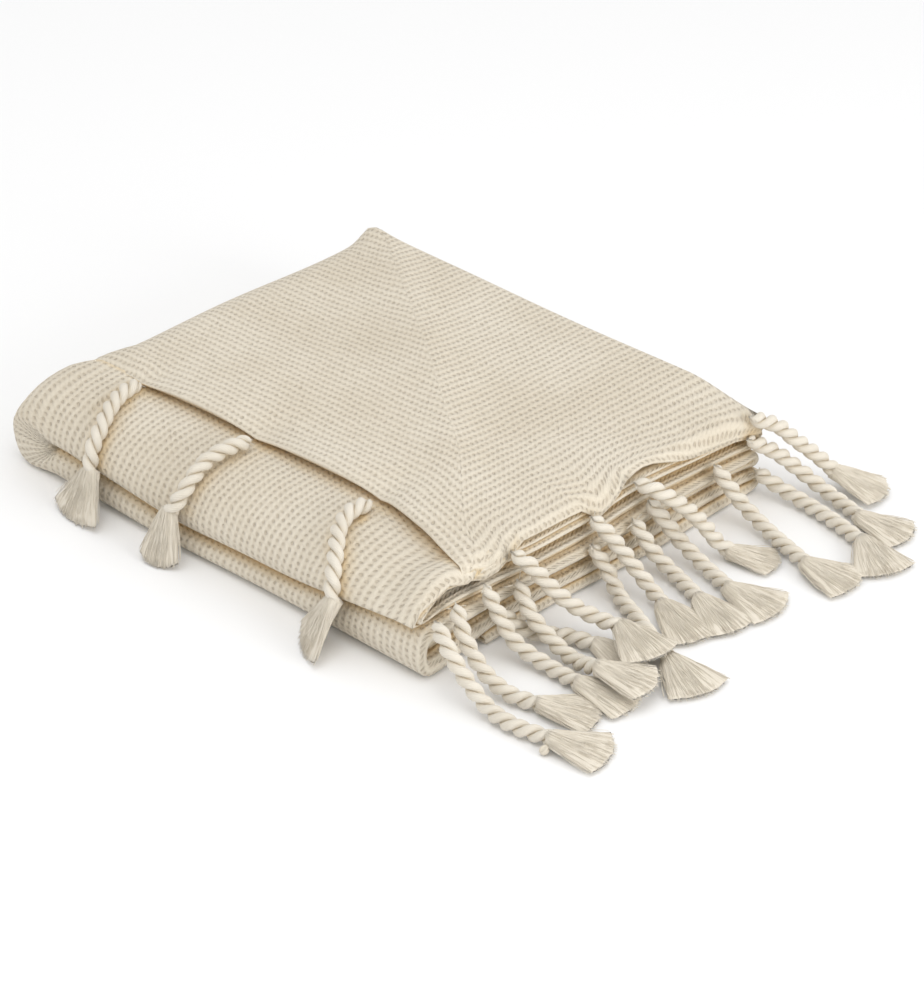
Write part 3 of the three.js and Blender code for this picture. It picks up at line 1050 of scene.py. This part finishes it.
def knit_finish():
    n = Nodes("purl_knit", roughness=0.92, sheen=0.2)
    across, along, _ = n.split(n.uv("knit"))
    # Rows run across the cloth, but on the flap's near half, up to the ridge, they run along it.
    turned = n.maths("LESS_THAN", across, n.maths("MULTIPLY", along, RIDGE_SLOPE))
    turned = n.maths("MULTIPLY", turned, n.maths("LESS_THAN", along, ALONG_TOTAL / 2))
    turned = n.maths("MULTIPLY", turned, n.maths("LESS_THAN", across, 0.30))
    swap = n.maths("MULTIPLY", turned, n.maths("SUBTRACT", along, across))
    by_row = n.maths("SUBTRACT", along, swap)
    by_stitch = n.maths("ADD", across, swap)
    row = n.maths("DIVIDE", n.uneven(by_row, 0.0016, 0.0011), RIDGE_TALL)
    stitch = n.maths("DIVIDE", n.uneven(by_stitch, 0.0013, 0.0011), STITCH_WIDE)
    # Two holes in each cell, one fainter, and both lean the same way; they dent the surface and are
    # darkened with painted shade.
    strength = n.ease(n.noise(n.place(), 330, 2), 0.3, 0.7, 0.40, 1.0)
    hole = n.maths("MULTIPLY", strength, n.maths(
        "MAXIMUM", n.dash(row, stitch, 0.0), n.maths("MULTIPLY", n.dash(row, stitch, 0.5), 0.20)))
    ridge = n.maths("COSINE", n.maths("MULTIPLY", row, 2 * math.pi))
    arc = n.maths("COSINE", n.maths("MULTIPLY", n.maths("SUBTRACT", stitch, row), 2 * math.pi))
    bump = n.maths("ADD", n.maths("MULTIPLY", ridge, 0.25), n.maths("MULTIPLY", arc, -0.05))
    bump = n.maths("SUBTRACT", bump, n.maths("MULTIPLY", hole, 0.6))
    fuzz = n.noise(n.place(), 1500, 3)
    patchy = n.ease(n.maths("ADD", n.maths("MULTIPLY", n.noise(n.place(), 14, 3), 0.6),
                            n.maths("MULTIPLY", fuzz, 0.4)), 0.35, 0.65)
    colour = n.blend(patchy, KNIT, KNIT_LIGHT)
    # Painted shade: the valleys between the ridges and the holes are darkened towards brown.
    valley = n.maths("MULTIPLY", n.maths("SUBTRACT", 1.0, ridge), 0.12)
    colour = n.blend(valley, colour, KNIT_GAP_SHADE)
    colour = n.blend(n.maths("MULTIPLY", hole, 0.44), colour, KNIT_GAP_SHADE)
    # Painted warm shade in deep folds, as strong as the point is sheltered.
    colour = n.blend(n.attribute("sheltered"), colour, FOLD_SHADE)
    height = n.maths("ADD", bump, n.maths("MULTIPLY", fuzz, 0.35))
    return n.finish(colour, n.bump(height, 0.0012))


panel = finish_piece("folded_knit", knit_sheet(), knit_finish())
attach(panel, "root")
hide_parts("knitted_panel")

# %% [markdown]
# ## How sheltered each point is
# From each point a few short feelers go out around the surface's own direction. The share that
# meets cloth or cord close by is stored as an attribute, and the materials turn it into painted
# warm brown shade in deep folds.

# %% Sheltered places
FEELER = 0.011
FEELERS = 12


def feeler_directions():
    """Directions over a half-sphere about Z, spread by the golden angle."""
    k = np.arange(FEELERS) + 0.5
    height = 0.15 + 0.85 * k / FEELERS
    turn = k * math.pi * (3 - math.sqrt(5))
    flat = np.sqrt(1 - height ** 2)
    return np.stack([flat * np.cos(turn), flat * np.sin(turn), height], axis=1)


def merged_tree(pieces):
    whole = bmesh.new()
    for piece in pieces:
        whole.from_mesh(piece.data)
    tree = BVHTree.FromBMesh(whole)
    whole.free()
    return tree


def store_sheltered(piece, tree):
    directions = [Vector(d) for d in feeler_directions()]
    values = []
    for v in piece.data.vertices:
        turn = v.normal.to_track_quat("Z", "Y")
        start = v.co + v.normal * 0.0006
        met = 0.0
        for way in directions:
            distance = tree.ray_cast(start, turn @ way, FEELER)[3]
            if distance is not None:
                met += 1 - 0.5 * distance / FEELER
        values.append(min(1.0, max(0.0, met / FEELERS * 1.35 - 0.12)))
    piece.data.attributes.new("sheltered", "FLOAT", "POINT").data.foreach_set("value", values)
    return np.mean(values)


tree = merged_tree([panel, *[rope for rope, _, _ in ROPES]])
print("panel sheltered on average", round(store_sheltered(panel, tree), 2))
shares = [store_sheltered(rope, tree) for rope, _, _ in ROPES]
print("ropes sheltered on average", round(sum(shares) / len(shares), 2))

# %% [markdown]

# %% [markdown]
# ## Table, light and background
# A plain pale floor and large soft lamps: one overhead a little to the front, and a low one on the
# right that shines into the ply ends. Nothing else is in the scene.


# %% Stage
def make_floor():
    bm = bmesh.new()
    bmesh.ops.create_grid(bm, x_segments=1, y_segments=1, size=6)
    n = Nodes("pale_floor", roughness=0.9, sheen=0.0)
    n.shader.inputs["Base Color"].default_value = (0.93, 0.93, 0.93, 1)
    floor = finish_piece("floor", bm, n.material)


def make_lamp(name, place, aim, size, power):
    light = bpy.data.lights.new(name, "AREA")
    light.shape = "DISK"
    light.size = size
    light.energy = power
    lamp = bpy.data.objects.new(name, light)
    lamp.location = place
    lamp.rotation_euler = (Vector(aim) - Vector(place)).to_track_quat("-Z", "Y").to_euler()
    bpy.context.scene.collection.objects.link(lamp)


make_floor()
make_lamp("overhead", (0.5, -0.7, 2.4), (0.05, 0, 0), 1.8, 14)
make_lamp("right", (2.0, 0.1, 0.55), (0.15, 0, 0.03), 1.2, 15)

world = bpy.data.worlds.new("room")
world.use_nodes = True
world.node_tree.nodes["Background"].inputs["Color"].default_value = (1, 1, 1, 1)
world.node_tree.nodes["Background"].inputs["Strength"].default_value = 0.88
bpy.context.scene.world = world
bpy.context.scene.view_settings.view_transform = "Standard"
